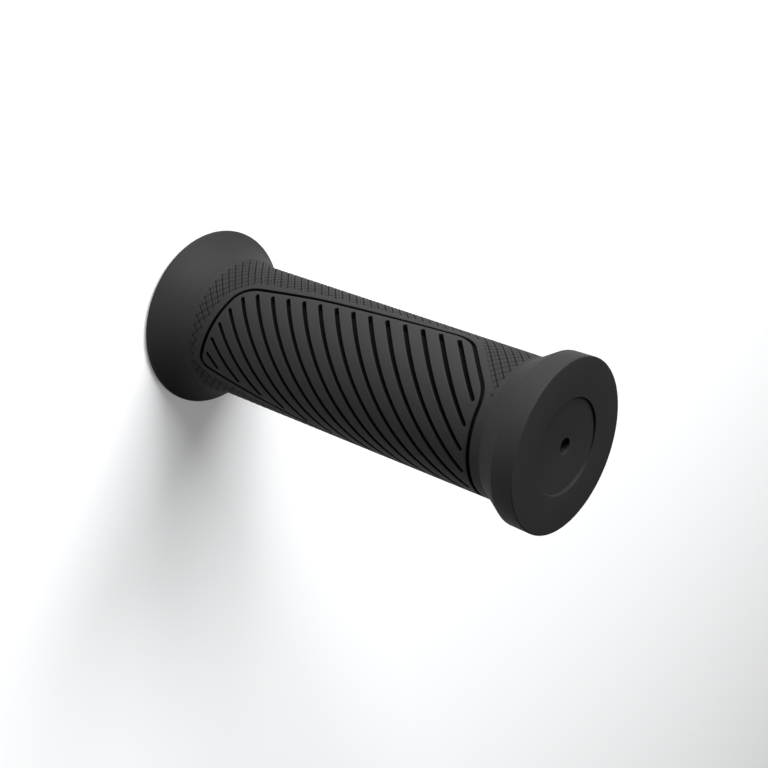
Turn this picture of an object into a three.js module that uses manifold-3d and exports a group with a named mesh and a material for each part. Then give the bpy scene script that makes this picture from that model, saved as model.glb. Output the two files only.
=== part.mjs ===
// A bicycle handlebar grip, moulded in one piece of rubber.
// It is a sleeve for a 22.2 mm bar, with an enlarged round outer end, a straight barrel and a flared inner
// flange. One side of the barrel carries a smooth panel, bordered by a fine groove and crossed by slanting
// finger slots.
// Millimetres, +Z up. The grip stands on the flat mouth face of its inner flange, and the axis of the bore is
// the Z axis. Heights are measured from the mouth face.

import * as THREE from "three";
import { mergeVertices } from "three/addons/utils/BufferGeometryUtils.js";
import Module from "manifold-3d";

// The whole grip
const GRIP_LENGTH = 110;

// The outer end: a flat face, a straight band and a cone down to the barrel
const END_RADIUS = 20;
const BAND_WIDTH = 5.3;
const BAND_DRAFT = 0.1; // how much narrower the band is where it meets the cone
const CONE_LENGTH = 5.6;
const RECESS_RADIUS = 11; // a plain round recess in the middle of the end face
const RECESS_DEPTH = 0.6;
const VENT_RADIUS = 1.8; // lets the air out when the grip is pushed on

// The barrel, which widens a little towards the flange
const BARREL_RADIUS = 16.5;
const BARREL_WIDENING = 0.3;

// The inner flange: a hollow curve from the barrel to a rounded lip
const RIM_RADIUS = 22.75;
const LIP_RADIUS = 1;
const FLARE_HEIGHT = 15.5; // where the barrel begins

// The bore, which is blind: the bar's end meets the end wall
const BORE_RADIUS = 11.1;
const END_WALL = 4.5;
const MOUTH_CHAMFER = 0.8;

// The panel's border, a groove with round corners
const GROOVE_WIDTH = 0.9;
const GROOVE_DEPTH = 0.9;

// The panel's corners, with heights from the cone or the flare, and angles in degrees from the shoulder
const PANEL_TURN = -154.9; // round the axis to the shoulder itself
const END_GAP = 3; // plain strip between the cone and the panel
const FRONT_ANGLE = 49.3;
const FRONT_ROUND = 8;
const SHOULDER_DROP = 16.5; // from the cone down to the shoulder
const SHOULDER_ROUND = 9;
const BOW_HEIGHT = 26.8; // from the flare up to the slight bow in the long edge
const BOW_RISE = 1.1; // how far the bow stands out of the straight line
const BOW_ROUND = 150;
const NECK_GAP = 5.2; // from the flare up to the neck corner
const NECK_ANGLE = 31.8;
const NECK_ROUND = 7.5;
const HEEL_DROP = 7.5; // from the neck corner down to the heel
const HEEL_ANGLE = 109.7;
const HEEL_ROUND = 2.5;
const BACK_ANGLE = 181;
const BACK_ROUND = 4;

// The finger slots, which run parallel to the panel's slanting edge
const SLOT_WIDTH = 1;
const SLOT_DEPTH = 1.8;
const SLOT_PITCH = 3.79;
const SLOT_FIRST = 2.9; // from the slanting edge to the first slot
const SLOT_BORDER = 1.05; // plain rubber between a slot's end and the groove

// How finely curves are divided
const FACETS = 60; // round the axis
const PROFILE_DIVISIONS = 4; // half the steps of an arc of the profile
const CORNER_STEPS = 4; // round a corner of the panel
const TIP_STEPS = 2; // round half of a slot's end
const STRIP_STEP = 4; // longest step along a groove or slot
const CUT_OVERRUN = 1; // how far a cutter stands out of the surface
const SAME_POINT = 1e-6; // points nearer than this are one

const wasm = await Module();
wasm.setup();

const coneTop = GRIP_LENGTH - BAND_WIDTH;
const coneFoot = coneTop - CONE_LENGTH;
const neckRadius = BARREL_RADIUS + BARREL_WIDENING;

// The flare is the arc that leaves the barrel straight and meets the lip's arc without a corner.
const flareDrop = FLARE_HEIGHT - LIP_RADIUS;
const flareReach = RIM_RADIUS - LIP_RADIUS - neckRadius;
const flareRadius = (flareDrop ** 2 + flareReach ** 2 - LIP_RADIUS ** 2) / (2 * (LIP_RADIUS + flareReach));
const lipAngle = Math.atan2(flareDrop, flareRadius - flareReach);

// The radius of the outside at a height on the flare or the barrel.
function surfaceRadius(height) {
  if (height < FLARE_HEIGHT) {
    return neckRadius + flareRadius - Math.sqrt(flareRadius ** 2 - (FLARE_HEIGHT - height) ** 2);
  }
  const share = (height - FLARE_HEIGHT) / (coneFoot - FLARE_HEIGHT);
  return neckRadius - BARREL_WIDENING * share;
}

// The sleeve's section, up the outside and down the inside, turned round the axis.
function sleeveGeometry() {
  const section = new THREE.Path();
  section.moveTo(BORE_RADIUS + MOUTH_CHAMFER, 0);
  section.lineTo(RIM_RADIUS - LIP_RADIUS, 0);
  section.absarc(RIM_RADIUS - LIP_RADIUS, LIP_RADIUS, LIP_RADIUS, -Math.PI / 2, lipAngle, false);
  section.absarc(neckRadius + flareRadius, FLARE_HEIGHT, flareRadius, Math.PI + lipAngle, Math.PI, true);
  section.lineTo(BARREL_RADIUS, coneFoot);
  section.lineTo(END_RADIUS - BAND_DRAFT, coneTop);
  section.lineTo(END_RADIUS, GRIP_LENGTH);
  section.lineTo(RECESS_RADIUS, GRIP_LENGTH);
  section.lineTo(RECESS_RADIUS, GRIP_LENGTH - RECESS_DEPTH);
  section.lineTo(VENT_RADIUS, GRIP_LENGTH - RECESS_DEPTH);
  section.lineTo(VENT_RADIUS, GRIP_LENGTH - END_WALL);
  section.lineTo(BORE_RADIUS, GRIP_LENGTH - END_WALL);
  section.lineTo(BORE_RADIUS, MOUTH_CHAMFER);
  section.lineTo(BORE_RADIUS + MOUTH_CHAMFER, 0);
  // Where two arcs meet, the path repeats the point, and one of the two is dropped.
  const points = section.getPoints(PROFILE_DIVISIONS);
  const apart = points.filter((point, i) => i === 0 || point.distanceTo(points[i - 1]) > SAME_POINT);
  return new THREE.LatheGeometry(apart, FACETS).rotateX(Math.PI / 2);
}

// The panel is drawn on the barrel's surface rolled out flat: x is the way round the barrel and y the height.
function corner(degrees, height, round) {
  const around = BARREL_RADIUS * THREE.MathUtils.degToRad(PANEL_TURN + degrees);
  return { place: new THREE.Vector2(around, height), round };
}

// The direction out of the panel, square to the edge from one corner to the next.
function edgeNormal(from, to) {
  const along = to.place.clone().sub(from.place).normalize();
  return new THREE.Vector2(along.y, -along.x);
}

// A corner that stands out of the straight edge between two others.
function bowBetween(from, to, height) {
  const place = from.place.clone().lerp(to.place, (height - from.place.y) / (to.place.y - from.place.y));
  return { place: place.addScaledVector(edgeNormal(from, to), BOW_RISE), round: BOW_ROUND };
}

const shoulder = corner(0, coneFoot - SHOULDER_DROP, SHOULDER_ROUND);
const neckCorner = corner(NECK_ANGLE, FLARE_HEIGHT + NECK_GAP, NECK_ROUND);
const bow = bowBetween(shoulder, neckCorner, FLARE_HEIGHT + BOW_HEIGHT);
const heel = corner(HEEL_ANGLE, FLARE_HEIGHT + NECK_GAP - HEEL_DROP, HEEL_ROUND);
const backCorner = corner(BACK_ANGLE, coneFoot - END_GAP, BACK_ROUND);
const frontCorner = corner(FRONT_ANGLE, coneFoot - END_GAP, FRONT_ROUND);
const panelCorners = [shoulder, bow, neckCorner, heel, backCorner, frontCorner]; // counter-clockwise

// Stations round the panel's outline, moved inwards by a distance, each with its place and its way out.
function panelOutline(inset) {
  const arcs = panelCorners.map((here, i) => {
    const last = panelCorners.at(i - 1);
    const next = panelCorners[(i + 1) % panelCorners.length];
    const before = edgeNormal(last, here);
    const after = edgeNormal(here, next);
    const round = Math.max(here.round, inset);
    const toCentre = before.clone().add(after).multiplyScalar(-round / (1 + before.dot(after)));
    const centre = here.place.clone().add(toCentre);
    const turn = Math.acos(before.dot(after));
    return Array.from({ length: CORNER_STEPS + 1 }, (_, k) => {
      const out = before.clone().rotateAround(new THREE.Vector2(), (turn * k) / CORNER_STEPS);
      return { place: centre.clone().addScaledVector(out, round - inset), out };
    });
  });
  return arcs.flatMap((arc, i) => {
    const start = arc.at(-1);
    const end = arcs[(i + 1) % arcs.length][0];
    const steps = Math.ceil(start.place.distanceTo(end.place) / STRIP_STEP);
    const edge = Array.from({ length: Math.max(steps - 1, 0) }, (_, k) => ({
      place: start.place.clone().lerp(end.place, (k + 1) / steps),
      out: start.out,
    }));
    return [...arc, ...edge];
  });
}

// Lays a point of the flat drawing on the barrel, raised above its surface.
function wrapped(place, raised) {
  const angle = place.x / BARREL_RADIUS;
  const radius = surfaceRadius(place.y) + raised;
  return new THREE.Vector3(radius * Math.cos(angle), radius * Math.sin(angle), place.y);
}

// A square ring that follows the panel's outline and cuts the border groove.
function grooveCutter() {
  const stations = panelOutline(0);
  const section = [
    [0, 0],
    [1, 0],
    [1, 1],
    [0, 1],
    [0, 0],
  ].map(([x, y]) => new THREE.Vector2(x, y));
  const geometry = new THREE.LatheGeometry(section, stations.length);
  const position = geometry.attributes.position;
  for (let i = 0; i < position.count; i++) {
    const { place, out } = stations[Math.floor(i / section.length) % stations.length];
    const { x, y } = section[i % section.length];
    const across = place.clone().addScaledVector(out, (x - 0.5) * GROOVE_WIDTH);
    position.setXYZ(i, ...wrapped(across, y ? CUT_OVERRUN : -GROOVE_DEPTH));
  }
  return geometry;
}

// A straight strip with round ends, from one end's centre to the other's, that cuts one slot.
function slotCutter(start, end) {
  const along = end.clone().sub(start).normalize();
  const across = new THREE.Vector2(-along.y, along.x);
  const length = start.distanceTo(end);
  const steps = Math.ceil(length / STRIP_STEP);
  const half = SLOT_WIDTH / 2;
  const tip = Array.from({ length: TIP_STEPS }, (_, k) => ((k + 1) / TIP_STEPS) * (Math.PI / 2));
  const stations = [
    ...tip.map((angle) => ({ reach: -half * Math.cos(angle), half: half * Math.sin(angle) })),
    ...Array.from({ length: steps - 1 }, (_, k) => ({ reach: (length * (k + 1)) / steps, half })),
    ...tip.toReversed().map((angle) => ({
      reach: length + half * Math.cos(angle),
      half: half * Math.sin(angle),
    })),
  ];
  const last = stations.length - 1;
  const geometry = new THREE.BoxGeometry(last, 1, 1, last, 1, 1);
  const position = geometry.attributes.position;
  for (let i = 0; i < position.count; i++) {
    const station = stations[Math.round(position.getX(i) + last / 2)];
    const place = start.clone().addScaledVector(along, station.reach);
    place.addScaledVector(across, Math.sign(position.getY(i)) * station.half);
    position.setXYZ(i, ...wrapped(place, position.getZ(i) > 0 ? CUT_OVERRUN : -SLOT_DEPTH));
  }
  return geometry;
}

// The stretch of a line that lies inside a convex outline, as its two ends, or nothing.
function clipped(origin, along, outline) {
  const reaches = outline.flatMap(({ place }, i) => {
    const from = place.clone().sub(origin);
    const to = outline[(i + 1) % outline.length].place.clone().sub(origin);
    const fromSide = along.cross(from);
    const toSide = along.cross(to);
    return fromSide < 0 === toSide < 0 ? [] : [from.lerp(to, fromSide / (fromSide - toSide)).dot(along)];
  });
  const ends = [Math.min(...reaches), Math.max(...reaches)];
  return reaches.length ? ends.map((reach) => origin.clone().addScaledVector(along, reach)) : null;
}

// One slot after another, from the slanting edge to the far corner of the panel.
function slotCutters() {
  const limit = panelOutline(GROOVE_WIDTH / 2 + SLOT_BORDER + SLOT_WIDTH / 2);
  const along = shoulder.place.clone().sub(frontCorner.place).normalize();
  const inwards = new THREE.Vector2(-along.y, along.x);
  const cutters = [];
  for (let offset = SLOT_FIRST; ; offset += SLOT_PITCH) {
    const ends = clipped(frontCorner.place.clone().addScaledVector(inwards, offset), along, limit);
    if (!ends) return cutters;
    if (ends[0].distanceTo(ends[1]) > SLOT_WIDTH) cutters.push(slotCutter(...ends));
  }
}

function solidOf(geometry) {
  geometry.deleteAttribute("normal");
  geometry.deleteAttribute("uv");
  const merged = mergeVertices(geometry);
  const vertProperties = new Float32Array(merged.attributes.position.array);
  const triVerts = new Uint32Array(merged.index.array);
  return new wasm.Manifold(new wasm.Mesh({ numProp: 3, vertProperties, triVerts }));
}

function geometryOf(solid) {
  const { vertProperties, triVerts } = solid.getMesh();
  const geometry = new THREE.BufferGeometry();
  geometry.setAttribute("position", new THREE.BufferAttribute(vertProperties, 3));
  geometry.setIndex(new THREE.BufferAttribute(triVerts, 1));
  geometry.computeVertexNormals();
  return geometry;
}

const rubber = new THREE.MeshStandardMaterial({ color: 0x212122, roughness: 0.75, metalness: 0 });

function gripSleeve() {
  const cutters = [grooveCutter(), ...slotCutters()];
  const solid = cutters.reduce((body, cutter) => body.subtract(solidOf(cutter)), solidOf(sleeveGeometry()));
  const sleeve = new THREE.Mesh(geometryOf(solid), rubber);
  sleeve.name = "grip_sleeve";
  return sleeve;
}

const grip = new THREE.Group();
grip.name = "handlebar_grip";
grip.add(gripSleeve());

export default grip;
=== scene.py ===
# The looks of a moulded rubber handlebar grip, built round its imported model.
# Metres, +Z up, as the model: the grip stands on the mouth face of its inner flange, with its bore on Z.

import math

import bmesh
import bpy
from mathutils import Euler, Matrix, Vector
from mathutils.kdtree import KDTree


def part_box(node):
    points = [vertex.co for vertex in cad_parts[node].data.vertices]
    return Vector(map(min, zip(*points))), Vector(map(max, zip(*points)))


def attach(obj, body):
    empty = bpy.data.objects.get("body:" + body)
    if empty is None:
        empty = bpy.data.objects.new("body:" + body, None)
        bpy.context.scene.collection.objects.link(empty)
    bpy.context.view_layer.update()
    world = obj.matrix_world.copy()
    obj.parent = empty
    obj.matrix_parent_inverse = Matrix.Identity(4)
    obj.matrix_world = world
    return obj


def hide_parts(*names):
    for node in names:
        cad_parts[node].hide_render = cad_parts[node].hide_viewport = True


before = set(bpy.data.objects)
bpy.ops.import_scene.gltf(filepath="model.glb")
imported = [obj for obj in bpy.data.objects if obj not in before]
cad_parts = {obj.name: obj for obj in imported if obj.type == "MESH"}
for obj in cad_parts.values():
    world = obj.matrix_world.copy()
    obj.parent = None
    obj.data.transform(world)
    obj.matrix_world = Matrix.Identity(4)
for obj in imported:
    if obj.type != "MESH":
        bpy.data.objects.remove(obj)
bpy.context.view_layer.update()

MM = 0.001
FULL_TURN = 2 * math.pi

# The whole grip, from the far corner of the model's own box
far_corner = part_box("grip_sleeve")[1]
GRIP_LENGTH = far_corner.z
RIM_RADIUS = far_corner.x

# The outer end: its band, its cone, and the recess and vent in its face
END_RADIUS = 20 * MM
END_EDGE = 0.3 * MM
BAND_WIDTH = 5.3 * MM
BAND_DRAFT = 0.1 * MM
CONE_LENGTH = 5.6 * MM
CONE_EDGE = 0.25 * MM
RECESS_RADIUS = 11 * MM
RECESS_DEPTH = 0.6 * MM
RECESS_EDGE = 0.15 * MM
VENT_RADIUS = 1.8 * MM

# The barrel and the flange
BARREL_RADIUS = 16.5 * MM
BARREL_WIDENING = 0.3 * MM
LIP_RADIUS = 1 * MM
FLARE_HEIGHT = 15.5 * MM

# The bore
BORE_RADIUS = 11.1 * MM
END_WALL = 4.5 * MM
MOUTH_CHAMFER = 0.8 * MM

# The panel's border groove and its corners, as angles from the shoulder, heights and radii
GROOVE_WIDTH = 0.9 * MM
GROOVE_DEPTH = 0.9 * MM
PANEL_TURN = math.radians(-154.9)
END_GAP = 3 * MM
FRONT_ANGLE, FRONT_ROUND = math.radians(49.3), 8 * MM
SHOULDER_DROP, SHOULDER_ROUND = 16.5 * MM, 9 * MM
BOW_HEIGHT, BOW_RISE, BOW_ROUND = 26.8 * MM, 1.1 * MM, 150 * MM
NECK_GAP, NECK_ANGLE, NECK_ROUND = 5.2 * MM, math.radians(31.8), 7.5 * MM
HEEL_DROP, HEEL_ANGLE, HEEL_ROUND = 7.5 * MM, math.radians(109.7), 2.5 * MM
BACK_ANGLE, BACK_ROUND = math.radians(181), 4 * MM

# The finger slots, how far the first lies inside the slanting edge, and how far they end short of the groove
SLOT_WIDTH = 1 * MM
SLOT_DEPTH = 1.8 * MM
SLOT_PITCH = 3.79 * MM
SLOT_FIRST = 2.9 * MM
SLOT_BORDER = 1.05 * MM

# The soft edge of a groove or slot, the round of its floor, and how far its cutter stands out of the surface
CUT_EDGE = 0.1 * MM
CUT_FLOOR = 0.2 * MM
CUT_OVERRUN = 0.15 * MM
EDGE_ANGLES = [math.radians(a) for a in (0, 25, 50, 70)]
FLOOR_ANGLES = [math.radians(a) for a in (30, 60, 90)]

# The knurl: pads between crossing grooves, each parted by a finer groove. The pattern repeats every few
# columns and rows of its grid, and ends at a low ridge on the flare.
KNURL_STARTS = 44
KNURL_REPEAT = 4
KNURL_MAIN_DEPTH = 0.14 * MM
KNURL_CROSS_DEPTH = 0.08 * MM
KNURL_FINE_DEPTH = 0.06 * MM
KNURL_SLOPE = 0.25 * MM
KNURL_BORDER = 1.7 * MM
KNURL_FOOT = 10.3 * MM
KNURL_END_GAP = 0.15 * MM
KNURL_RIDGE = 0.14 * MM
RIDGE_WIDTH = 1.6 * MM

# How finely the surfaces are divided
COLUMNS = KNURL_REPEAT * KNURL_STARTS
ROWS_BELOW_KNURL = 2
FLARE_STEPS = 12
ARC_STEP = math.radians(7)
EDGE_STEP = 2 * ARC_STEP
FEWEST_STEPS = 2
CUT_STEP = 1 * MM
CORNER_STEPS = 10
TIP_STEPS = 5

# Points nearer than this are merged, edges shorter than this are removed, and bends beyond this are sharp
MERGE_DISTANCE = 0.001 * MM
SLIVER_LENGTH = 0.0005 * MM
SHARP_ANGLE = math.radians(30)

# The camera
CAMERA_PLACE = Vector((0.18, -255.1, 245.94)) * MM
CAMERA_TURN = math.radians(-0.19)
CAMERA_TILT = math.radians(36.2)
CAMERA_ROLL = math.radians(110.41)
CAMERA_LENS = 63.47
SENSOR_WIDTH = 36
CLIP_START, CLIP_END = 0.01, 50

# The rubber: its darkest and palest shade, its sheen, its cloudiness and its grain
RUBBER_DARK = (0.0135, 0.0135, 0.014, 1)
RUBBER_PALE = (0.0165, 0.0165, 0.017, 1)
RUBBER_SPECULAR = 0.15
RUBBER_ROUGHNESS = 0.6
CLOUD_SCALE = 90
CLOUD_DETAIL = 4
CLOUD_ROUGHNESS = 0.08
GRAIN_SCALE = 5200
GRAIN_DETAIL = 2
GRAIN_ROUGHNESS = 0.06
GRAIN_HEIGHT = 0.005 * MM

# The painted shade in the slots, groove and knurl grooves, standing in for the shade that falls in them: its
# colour, the depths between which it comes in, and the height it fades over
SLOT_SHADE_COLOUR = (0.006, 0.006, 0.006, 1)
SHADE_START = 0.03 * MM
SHADE_FULL = 0.12 * MM
SHADE_FADE = 1 * MM

# A surface without any sheen
NO_SHEEN = {"Roughness": 1, "Specular IOR Level": 0}

# The lights: the place, the width and the power of each
LIGHT_COLOUR = (0.98, 0.99, 1)
KEY_PLACE, KEY_SIZE, KEY_POWER = (-0.67, -0.1, 0.86), 0.6, 12
FILL_PLACE, FILL_SIZE, FILL_POWER = (-0.82, -0.61, 0.27), 0.6, 19
TOP_PLACE, TOP_SIZE, TOP_POWER = (0, -0.1, 1.2), 1, 3.5

# The floor, with a faint painted glow that lifts the shadows on it and lights the grip from below, and the
# backdrop behind it
FLOOR_SIZE = 1.5
FLOOR_DROP = 0.05 * MM
FLOOR_COLOUR = (0.8, 0.8, 0.8, 1)
FLOOR_GLOW = 0.15
FLOOR_GLOW_COLOUR = (1, 1, 1, 1)
BACKDROP_COLOUR = (0.8, 0.8, 0.8, 1)

# The heights of the cone, and the radius of the barrel where the flare begins
cone_top = GRIP_LENGTH - BAND_WIDTH
cone_foot = cone_top - CONE_LENGTH
neck_radius = BARREL_RADIUS + BARREL_WIDENING

# The hollow arc of the flare, which touches the barrel and the round lip
flare_drop = FLARE_HEIGHT - LIP_RADIUS
flare_reach = RIM_RADIUS - LIP_RADIUS - neck_radius
flare_radius = (flare_drop**2 + flare_reach**2 - LIP_RADIUS**2) / (2 * (LIP_RADIUS + flare_reach))
lip_angle = math.atan2(flare_drop, flare_radius - flare_reach)

# The knurl's grid, whose rows are as high as makes its diagonals run along the slots
girth = FULL_TURN * BARREL_RADIUS
column_step = girth / COLUMNS
slot_slope = (SHOULDER_DROP - END_GAP) / (BARREL_RADIUS * FRONT_ANGLE)
knurl_height = cone_foot - KNURL_END_GAP - KNURL_FOOT
knurl_rows = round(knurl_height / (column_step * slot_slope))
row_step = knurl_height / knurl_rows


def surface_radius(height):
    """The radius of the outside at a height on the flare or the barrel."""
    if height < FLARE_HEIGHT:
        return neck_radius + flare_radius - math.sqrt(flare_radius**2 - (FLARE_HEIGHT - height) ** 2)
    return neck_radius - BARREL_WIDENING * (height - FLARE_HEIGHT) / (cone_foot - FLARE_HEIGHT)


def arc(centre, radius, start, end):
    """Points of an arc in the section, as (radius, height)."""
    steps = max(FEWEST_STEPS, math.ceil(abs(end - start) / ARC_STEP))
    angles = [start + (end - start) * i / steps for i in range(steps + 1)]
    return [(centre[0] + radius * math.cos(a), centre[1] + radius * math.sin(a)) for a in angles]


def rounded(before, corner, after, radius):
    """Points of the arc that rounds a corner of the section."""
    corner = Vector(corner)
    back = (Vector(before) - corner).normalized()
    on = (Vector(after) - corner).normalized()
    half = back.angle(on) / 2
    centre = corner + (back + on).normalized() * radius / math.sin(half)
    start = corner + back * radius / math.tan(half) - centre
    end = corner + on * radius / math.tan(half) - centre
    turn = start.angle_signed(end)
    steps = max(FEWEST_STEPS, math.ceil(abs(turn) / EDGE_STEP))
    return [tuple(centre + Matrix.Rotation(-turn * i / steps, 2) @ start) for i in range(steps + 1)]


def ridge(height):
    """How far the low ridge on the flare, where the knurl ends, stands out at a height."""
    away = abs(height - KNURL_FOOT) / (RIDGE_WIDTH / 2)
    return KNURL_RIDGE * max(0, 1 - away) ** 2


def sleeve_section():
    """The section as points (radius, height), up the outside and down the inside."""
    heights = [KNURL_FOOT + row_step * i for i in range(-ROWS_BELOW_KNURL, knurl_rows + 1)]
    flare_foot = LIP_RADIUS + LIP_RADIUS * math.sin(lip_angle)
    lip = arc((RIM_RADIUS - LIP_RADIUS, LIP_RADIUS), LIP_RADIUS, -math.pi / 2, lip_angle)
    flare_step = (heights[0] - flare_foot) / FLARE_STEPS
    flare = [flare_foot + flare_step * i for i in range(1, FLARE_STEPS)]
    outside = [(surface_radius(h) + ridge(h), h) for h in flare + heights]
    foot = (BARREL_RADIUS, cone_foot)
    top = (END_RADIUS - BAND_DRAFT, cone_top)
    edge = (END_RADIUS, GRIP_LENGTH)
    rim = (RECESS_RADIUS, GRIP_LENGTH)
    floor = (RECESS_RADIUS, GRIP_LENGTH - RECESS_DEPTH)
    vent = (VENT_RADIUS, GRIP_LENGTH - RECESS_DEPTH)
    stop = (BORE_RADIUS, GRIP_LENGTH - END_WALL)
    return [
        (BORE_RADIUS + MOUTH_CHAMFER, 0),
        *lip,
        *outside,
        *rounded(outside[-1], foot, top, CONE_EDGE),
        *rounded(foot, top, edge, CONE_EDGE),
        *rounded(top, edge, rim, END_EDGE),
        *rounded(edge, rim, floor, RECESS_EDGE),
        *rounded(rim, floor, vent, RECESS_EDGE),
        *rounded(floor, vent, (VENT_RADIUS, stop[1]), RECESS_EDGE),
        (VENT_RADIUS, stop[1]),
        stop,
        (BORE_RADIUS, MOUTH_CHAMFER),
    ]


def spun(points, turn, steps):
    """A closed section, as points (radius, height), turned about Z. A full turn is merged where it meets."""
    bm = bmesh.new()
    verts = [bm.verts.new((radius, 0, height)) for radius, height in points]
    edges = [bm.edges.new((a, b)) for a, b in zip(verts, verts[1:] + verts[:1])]
    bmesh.ops.spin(
        bm, geom=verts + edges, cent=(0, 0, 0), axis=(0, 0, 1), dvec=(0, 0, 0),
        angle=turn, steps=steps, use_merge=turn == FULL_TURN,
    )
    return bm


def cleaned(bm):
    """Merges points that coincide, removes edges without length and turns all faces outwards."""
    bmesh.ops.remove_doubles(bm, verts=bm.verts[:], dist=MERGE_DISTANCE)
    bmesh.ops.dissolve_degenerate(bm, edges=bm.edges[:], dist=SLIVER_LENGTH)
    bmesh.ops.recalc_face_normals(bm, faces=bm.faces[:])
    return bm


def corner(angle, height, radius):
    """A corner of the panel on the barrel's surface rolled out flat: x is the way round and y the height."""
    return Vector((BARREL_RADIUS * (PANEL_TURN + angle), height)), radius


def edge_normal(start, end):
    """The way out of the panel, square to an edge."""
    along = (end - start).normalized()
    return Vector((along.y, -along.x))


def panel_corners():
    """The panel's corners, counter-clockwise, with the radius of each."""
    shoulder = corner(0, cone_foot - SHOULDER_DROP, SHOULDER_ROUND)
    neck = corner(NECK_ANGLE, FLARE_HEIGHT + NECK_GAP, NECK_ROUND)
    heel = corner(HEEL_ANGLE, FLARE_HEIGHT + NECK_GAP - HEEL_DROP, HEEL_ROUND)
    back = corner(BACK_ANGLE, cone_foot - END_GAP, BACK_ROUND)
    front = corner(FRONT_ANGLE, cone_foot - END_GAP, FRONT_ROUND)
    share = (FLARE_HEIGHT + BOW_HEIGHT - shoulder[0].y) / (neck[0].y - shoulder[0].y)
    bow = shoulder[0].lerp(neck[0], share) + edge_normal(shoulder[0], neck[0]) * BOW_RISE
    return [shoulder, (bow, BOW_ROUND), neck, heel, back, front]


def panel_outline(inset):
    """Stations round the panel's rounded edge, moved inwards by inset, each as its place and its way out."""
    corners = panel_corners()
    arcs = []
    for i, (place, radius) in enumerate(corners):
        before = edge_normal(corners[i - 1][0], place)
        after = edge_normal(place, corners[(i + 1) % len(corners)][0])
        radius = max(radius, inset)
        centre = place - (before + after) * radius / (1 + before.dot(after))
        turn = before.angle(after)
        ways = [Matrix.Rotation(turn * k / CORNER_STEPS, 2) @ before for k in range(CORNER_STEPS + 1)]
        arcs.append([(centre + way * (radius - inset), way) for way in ways])
    stations = []
    for i, bend in enumerate(arcs):
        start, end = bend[-1][0], arcs[(i + 1) % len(arcs)][0][0]
        steps = max(1, math.ceil((end - start).length / CUT_STEP))
        stations += bend
        stations += [(start.lerp(end, k / steps), bend[-1][1]) for k in range(1, steps)]
    return stations


def wrapped(place, raised):
    """A point of the flat drawing laid on the barrel, raised above its surface."""
    angle = place.x / BARREL_RADIUS
    radius = surface_radius(place.y) + raised
    return Vector((radius * math.cos(angle), radius * math.sin(angle), place.y))


def cut_section(width, depth):
    """The section of a groove as points (across, raised): a round floor, upright walls and soft edges."""
    half = width / 2
    side = [(half - CUT_FLOOR, -depth)]
    side += [
        (half - CUT_FLOOR + CUT_FLOOR * math.sin(a), -depth + CUT_FLOOR - CUT_FLOOR * math.cos(a))
        for a in FLOOR_ANGLES
    ]
    side += [
        (half + CUT_EDGE * (1 - math.cos(a)), -CUT_EDGE * (1 - math.sin(a)))
        for a in EDGE_ANGLES
    ]
    last = EDGE_ANGLES[-1]
    reach = (CUT_OVERRUN + CUT_EDGE * (1 - math.sin(last))) * math.tan(last)
    side.append((side[-1][0] + reach, CUT_OVERRUN))
    return side + [(-across, raised) for across, raised in reversed(side)]


def swept(section, steps, closed, lay):
    """A section (across, raised) spun round, whose points lay then puts in place by step and offsets."""
    # The section is spun far enough out to stay clear of the axis
    reach = BARREL_RADIUS
    turn = FULL_TURN if closed else FULL_TURN / 2
    bm = spun([(reach + across, raised) for across, raised in section], turn, steps)
    for vert in bm.verts:
        angle = math.atan2(vert.co.y, vert.co.x) % FULL_TURN
        step = round(angle / turn * steps) % (steps if closed else steps + 1)
        vert.co = lay(step, math.hypot(vert.co.x, vert.co.y) - reach, vert.co.z)
    return cleaned(bm)


def groove_cutter():
    """A ring that follows the panel's outline."""
    stations = panel_outline(0)

    def lay(step, across, raised):
        place, way = stations[step]
        return wrapped(place + way * across, raised)

    return swept(cut_section(GROOVE_WIDTH, GROOVE_DEPTH), len(stations), True, lay)


def slot_cutter(start, end):
    """A straight strip with round ends, from the centre of one end to the centre of the other."""
    along = (end - start).normalized()
    across_way = -edge_normal(start, end)
    length = (end - start).length
    middle = max(1, math.ceil(length / CUT_STEP))
    steps = 2 * TIP_STEPS + middle

    def lay(step, across, raised):
        reach = min(max(step - TIP_STEPS, 0), middle) * length / middle
        tip = min(step, steps - step) / TIP_STEPS
        angle = min(tip, 1) * math.pi / 2
        beyond = math.copysign(math.cos(angle), step - steps / 2) * abs(across)
        return wrapped(start + along * (reach + beyond) + across_way * across * math.sin(angle), raised)

    return swept(cut_section(SLOT_WIDTH, SLOT_DEPTH), steps, False, lay)


def clipped(origin, along, outline):
    """The two ends of the stretch of a line that lies inside a convex outline, or nothing."""
    reaches = []
    for (a, _), (b, _) in zip(outline, outline[1:] + outline[:1]):
        side_a, side_b = along.cross(a - origin), along.cross(b - origin)
        if (side_a < 0) != (side_b < 0):
            reaches.append((a - origin).lerp(b - origin, side_a / (side_a - side_b)).dot(along))
    return [origin + along * reach for reach in (min(reaches), max(reaches))] if reaches else None


def slot_cutters():
    """One slot after another, from the slanting edge to the heel."""
    corners = panel_corners()
    front, shoulder = corners[-1][0], corners[0][0]
    limit = panel_outline(GROOVE_WIDTH / 2 + SLOT_BORDER + SLOT_WIDTH / 2)
    along = (shoulder - front).normalized()
    inwards = -edge_normal(front, shoulder)
    cutters = []
    offset = SLOT_FIRST
    while ends := clipped(front + inwards * offset, along, limit):
        if (ends[1] - ends[0]).length > SLOT_WIDTH:
            cutters.append(slot_cutter(*ends))
        offset += SLOT_PITCH
    return cutters


def grid_place(vert):
    """The row and the column of a point of the barrel's grid."""
    row = round((vert.co.z - KNURL_FOOT) / row_step)
    column = round(math.atan2(vert.co.y, vert.co.x) / FULL_TURN * COLUMNS)
    return row, column


def set_radius(vert, radius):
    """Moves a point straight out or in to a distance from the axis."""
    share = radius / math.hypot(vert.co.x, vert.co.y)
    vert.co.x *= share
    vert.co.y *= share


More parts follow.
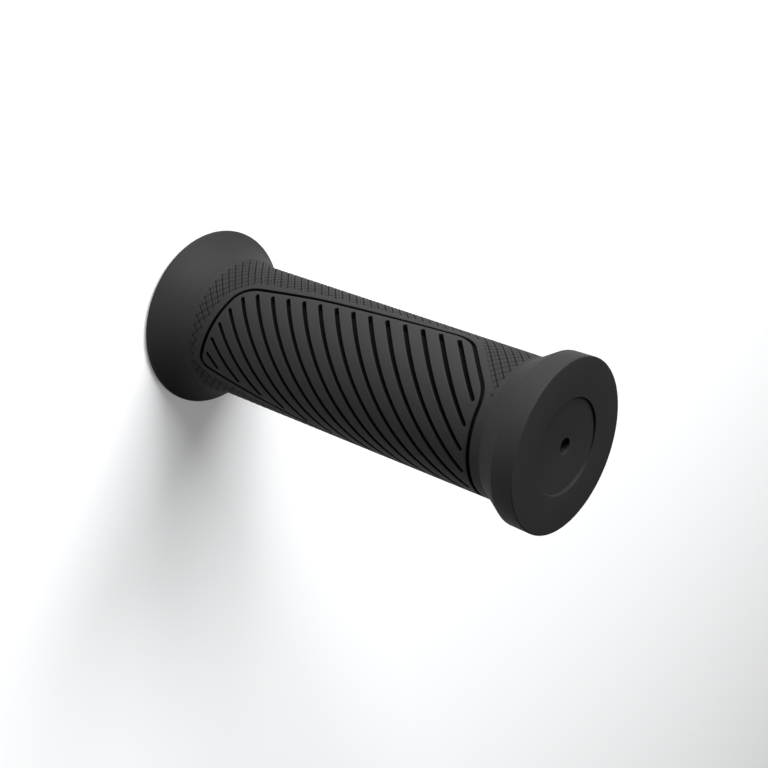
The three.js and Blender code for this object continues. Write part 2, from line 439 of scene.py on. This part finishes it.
def knurled(bm):
    """The points of the barrel and flare that are far enough outside the panel to be knurled."""
    outline = panel_outline(0)
    tree = KDTree(len(outline))
    for i, (place, _) in enumerate(outline):
        tree.insert((place.x, place.y, 0), i)
    tree.balance()
    # The flat drawing starts and ends opposite the middle of the panel
    seam = BARREL_RADIUS * (PANEL_TURN + BACK_ANGLE / 2 - math.pi)
    chosen = []
    for vert in bm.verts:
        row, _ = grid_place(vert)
        in_bore = math.hypot(vert.co.x, vert.co.y) < BARREL_RADIUS - BARREL_WIDENING
        if in_bore or not 0 < row < knurl_rows:
            continue
        around = (BARREL_RADIUS * math.atan2(vert.co.y, vert.co.x) - seam) % girth + seam
        _, i, away = tree.find((around, vert.co.z, 0))
        offset = Vector((around, vert.co.z)) - outline[i][0]
        if away > KNURL_BORDER and offset.dot(outline[i][1]) > 0:
            chosen.append(vert)
    return chosen


def groove_depth(vert):
    """How deep the knurl is at a crossing of its grooves."""
    row, column = grid_place(vert)
    if (row - column) % KNURL_REPEAT == 0:
        return KNURL_MAIN_DEPTH
    if (row + column) % KNURL_REPEAT == 0:
        return KNURL_CROSS_DEPTH
    return KNURL_FINE_DEPTH


def knurl(bm):
    """Turns the grid outside the panel into flat pads with grooves between them."""
    # Every other point is the top of a diamond. Each square round it is cut across, unless that was done
    # from the square's other top, and then the four halves become one face.
    tops = [vert for vert in knurled(bm) if sum(grid_place(vert)) % 2]
    for top in tops:
        for face in top.link_faces[:]:
            if len(face.verts) == 4:
                ends = [edge.other_vert(top) for edge in top.link_edges if edge in face.edges]
                bmesh.utils.face_split(face, *ends)
    crossings = {edge.other_vert(top) for top in tops for edge in top.link_edges}
    bmesh.ops.dissolve_verts(bm, verts=tops)
    # Two diamonds make one pad, where no groove parts them
    between = [
        edge for edge in bm.edges
        if crossings.issuperset(edge.verts)
        and all(sum(grid_place(vert)) % KNURL_REPEAT == KNURL_REPEAT // 2 for vert in edge.verts)
        and all(crossings.issuperset(face.verts) for face in edge.link_faces)
    ]
    bmesh.ops.dissolve_edges(bm, edges=between, use_verts=False)
    # The crossings sink to the depth of their grooves, and the pads between them stay up
    pads = [face for face in bm.faces if crossings.issuperset(face.verts)]
    inner = set(pads)
    for vert in crossings:
        if inner.issuperset(vert.link_faces):
            set_radius(vert, surface_radius(vert.co.z) - groove_depth(vert))
    bmesh.ops.inset_individual(bm, faces=pads, thickness=KNURL_SLOPE, use_even_offset=True)
    for vert in {vert for face in pads for vert in face.verts}:
        set_radius(vert, surface_radius(vert.co.z))


def object_from(bm, name):
    """A new object in the scene with a shape's mesh. The shape itself is used up."""
    mesh = bpy.data.meshes.new(name)
    bm.to_mesh(mesh)
    bm.free()
    piece = bpy.data.objects.new(name, mesh)
    bpy.context.scene.collection.objects.link(piece)
    return piece


def joined(meshes, name):
    """Several closed shapes in one object."""
    whole = bmesh.new()
    for bm in meshes:
        mesh = bpy.data.meshes.new(name)
        bm.to_mesh(mesh)
        bm.free()
        whole.from_mesh(mesh)
        bpy.data.meshes.remove(mesh)
    return object_from(whole, name)


def cut(piece, cutter):
    """Cuts one shape out of another for good."""
    modifier = piece.modifiers.new("cut", "BOOLEAN")
    modifier.object = cutter
    modifier.operation = "DIFFERENCE"
    modifier.solver = "MANIFOLD"
    evaluated = piece.evaluated_get(bpy.context.evaluated_depsgraph_get())
    mesh = bpy.data.meshes.new_from_object(evaluated)
    piece.modifiers.clear()
    piece.data = mesh
    bpy.data.objects.remove(cutter)


def grip_skin():
    """The whole grip: the spun sleeve, its knurl, and then its groove and slots."""
    bm = cleaned(spun(sleeve_section(), FULL_TURN, COLUMNS))
    knurl(bm)
    skin = object_from(bm, "grip_skin")
    cut(skin, joined([groove_cutter(), *slot_cutters()], "cutters"))
    skin.data.shade_smooth()
    skin.data.set_sharp_from_angle(angle=SHARP_ANGLE)
    return skin


class Value:
    """A socket of a material, so that plain sums can be written with it."""

    def __init__(self, socket):
        self.socket = socket

    def node(self, kind, settings, inputs, output=0):
        """Adds any other node, with its settings, then the values or links of its sockets."""
        node = self.socket.id_data.nodes.new(kind)
        for name, setting in settings.items():
            setattr(node, name, setting)
        connect(node, inputs)
        return Value(node.outputs[output])

    def sum(self, operation, first, second=0):
        """Adds a maths node. One that works on a single value has no use for the second."""
        return self.node("ShaderNodeMath", {"operation": operation}, {0: first, 1: second})

    def __add__(self, other):
        return self.sum("ADD", self, other)

    def __radd__(self, other):
        return self.sum("ADD", other, self)

    def __sub__(self, other):
        return self.sum("SUBTRACT", self, other)

    def __rsub__(self, other):
        return self.sum("SUBTRACT", other, self)

    def __mul__(self, other):
        return self.sum("MULTIPLY", self, other)

    def __rmul__(self, other):
        return self.sum("MULTIPLY", other, self)


def connect(node, inputs):
    """Sets or links sockets of a node, each given by its name or number."""
    for name, value in inputs.items():
        if isinstance(value, Value):
            node.id_data.links.new(value.socket, node.inputs[name])
        else:
            node.inputs[name].default_value = value


def plain_material(name, inputs):
    """A material of one shader, with its uniform values."""
    material = bpy.data.materials.new(name)
    material.use_nodes = True
    shader = material.node_tree.nodes["Principled BSDF"]
    connect(shader, inputs)
    return material, shader


def ramp(value, start, end):
    """A share that goes from 0 at one value to 1 at another."""
    inputs = {"Value": value, "From Min": start, "From Max": end}
    return value.node("ShaderNodeMapRange", {"clamp": True}, inputs)


def shaded_radius(height):
    """The radius of the outside, as surface_radius gives it, as a value of the material."""
    below = height.sum("MAXIMUM", FLARE_HEIGHT - height)
    above = height.sum("MAXIMUM", height - FLARE_HEIGHT)
    flare = flare_radius - height.sum("SQRT", flare_radius**2 - below * below)
    return neck_radius + flare - above * (BARREL_WIDENING / (cone_foot - FLARE_HEIGHT))


def painted_groove_shade(place):
    """The share of painted shade: 1 in the depth of the slots, groove and knurl, and in the bore behind
    them, where shade falls, and 0 elsewhere.
    """
    flat = place.node("ShaderNodeVectorMath", {"operation": "MULTIPLY"}, {0: place, 1: (1, 1, 0)})
    radius = flat.node("ShaderNodeVectorMath", {"operation": "LENGTH"}, {0: flat}, "Value")
    height = place.node("ShaderNodeSeparateXYZ", {}, {"Vector": place}, "Z")
    bore_top = GRIP_LENGTH - END_WALL
    # The deeper a point lies below the outside, the more painted shade it gets
    depth_shade = ramp(shaded_radius(height) - radius, SHADE_START, SHADE_FULL)
    above_foot = ramp(height, KNURL_FOOT, KNURL_FOOT + SHADE_FADE)
    below_end = ramp(height, bore_top, bore_top - SHADE_FADE)
    return depth_shade * above_foot * below_end


def noise(place, scale, detail):
    """A cloudy share between 0 and 1."""
    return place.node("ShaderNodeTexNoise", {}, {"Vector": place, "Scale": scale, "Detail": detail})


def blended(share, first, second):
    """A colour between two others. The node's sockets go by number, because their names repeat."""
    return share.node("ShaderNodeMix", {"data_type": "RGBA"}, {0: share, 6: first, 7: second}, 2)


def black_rubber():
    """Matte moulded rubber, nearly black, with a faint cloudiness and a fine grain, and with painted shade
    in its grooves, slots and bore.
    """
    material, shader = plain_material("black_rubber", {"Specular IOR Level": RUBBER_SPECULAR})
    place = Value(material.node_tree.nodes.new("ShaderNodeTexCoord").outputs["Object"])
    cloud = noise(place, CLOUD_SCALE, CLOUD_DETAIL)
    grain = noise(place, GRAIN_SCALE, GRAIN_DETAIL)
    shade = blended(cloud, RUBBER_DARK, RUBBER_PALE)
    roughness = RUBBER_ROUGHNESS + cloud * CLOUD_ROUGHNESS + grain * GRAIN_ROUGHNESS
    bump = grain.node("ShaderNodeBump", {}, {"Strength": 1, "Distance": GRAIN_HEIGHT, "Height": grain})
    connect(shader, {"Base Color": shade, "Roughness": roughness, "Normal": bump})
    # A matte near-black shader without sheen, painted into the grooves, slots and bore as their shade
    depth = place.node("ShaderNodeBsdfPrincipled", {}, {"Base Color": SLOT_SHADE_COLOUR, **NO_SHEEN})
    surface = Value(shader.outputs["BSDF"])
    rubber = place.node("ShaderNodeMixShader", {}, {0: painted_groove_shade(place), 1: surface, 2: depth})
    connect(material.node_tree.nodes["Material Output"], {"Surface": rubber})
    return material


def make_floor():
    """A wide pale floor with a faint painted glow, a hair below the grip so that the two never share a
    plane.
    """
    bm = bmesh.new()
    lowered = Matrix.Translation((0, 0, -FLOOR_DROP))
    bmesh.ops.create_grid(bm, x_segments=1, y_segments=1, size=FLOOR_SIZE, matrix=lowered)
    floor = object_from(bm, "floor")
    material, _ = plain_material("pale_floor", {
        "Base Color": FLOOR_COLOUR, **NO_SHEEN,
        "Emission Color": FLOOR_GLOW_COLOUR, "Emission Strength": FLOOR_GLOW,
    })
    floor.data.materials.append(material)


def make_camera():
    """The camera looks down on the grip, and is rolled so that the grip lies aslant in the picture."""
    data = bpy.data.cameras.new("camera")
    data.lens = CAMERA_LENS
    data.sensor_width = SENSOR_WIDTH
    data.clip_start = CLIP_START
    data.clip_end = CLIP_END
    camera = bpy.data.objects.new("camera", data)
    look = Euler((math.pi / 2 - CAMERA_TILT, 0, CAMERA_TURN)).to_matrix()
    camera.matrix_world = (look @ Matrix.Rotation(CAMERA_ROLL, 3, "Z")).to_4x4()
    camera.location = CAMERA_PLACE
    bpy.context.scene.collection.objects.link(camera)
    bpy.context.scene.camera = camera


def soft_light(name, place, size, power):
    """A round soft light that is aimed at the middle of the grip."""
    data = bpy.data.lights.new(name, "AREA")
    data.shape = "DISK"
    data.size = size
    data.energy = power
    data.color = LIGHT_COLOUR
    light = bpy.data.objects.new(name, data)
    light.location = place
    aim = Vector((0, 0, GRIP_LENGTH / 2)) - Vector(place)
    light.rotation_euler = aim.to_track_quat("-Z", "Y").to_euler()
    bpy.context.scene.collection.objects.link(light)


def make_lights():
    """A high light on one side, a stronger low one nearer to the camera, and a faint one overhead."""
    soft_light("key", KEY_PLACE, KEY_SIZE, KEY_POWER)
    soft_light("fill", FILL_PLACE, FILL_SIZE, FILL_POWER)
    soft_light("top", TOP_PLACE, TOP_SIZE, TOP_POWER)


def make_backdrop():
    """A plain pale backdrop behind the floor, which gives the grip no light."""
    world = bpy.data.worlds.new("studio")
    world.use_nodes = True
    world.node_tree.nodes["Background"].inputs["Color"].default_value = BACKDROP_COLOUR
    world.cycles_visibility.diffuse = False
    world.cycles_visibility.glossy = False
    bpy.context.scene.world = world


make_camera()
make_floor()
make_lights()
make_backdrop()

rubber = black_rubber()
skin = grip_skin()
# The cut leaves an empty material slot
skin.data.materials.clear()
skin.data.materials.append(rubber)
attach(skin, "root")
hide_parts("grip_sleeve")

bpy.context.scene.view_settings.view_transform = "Standard"
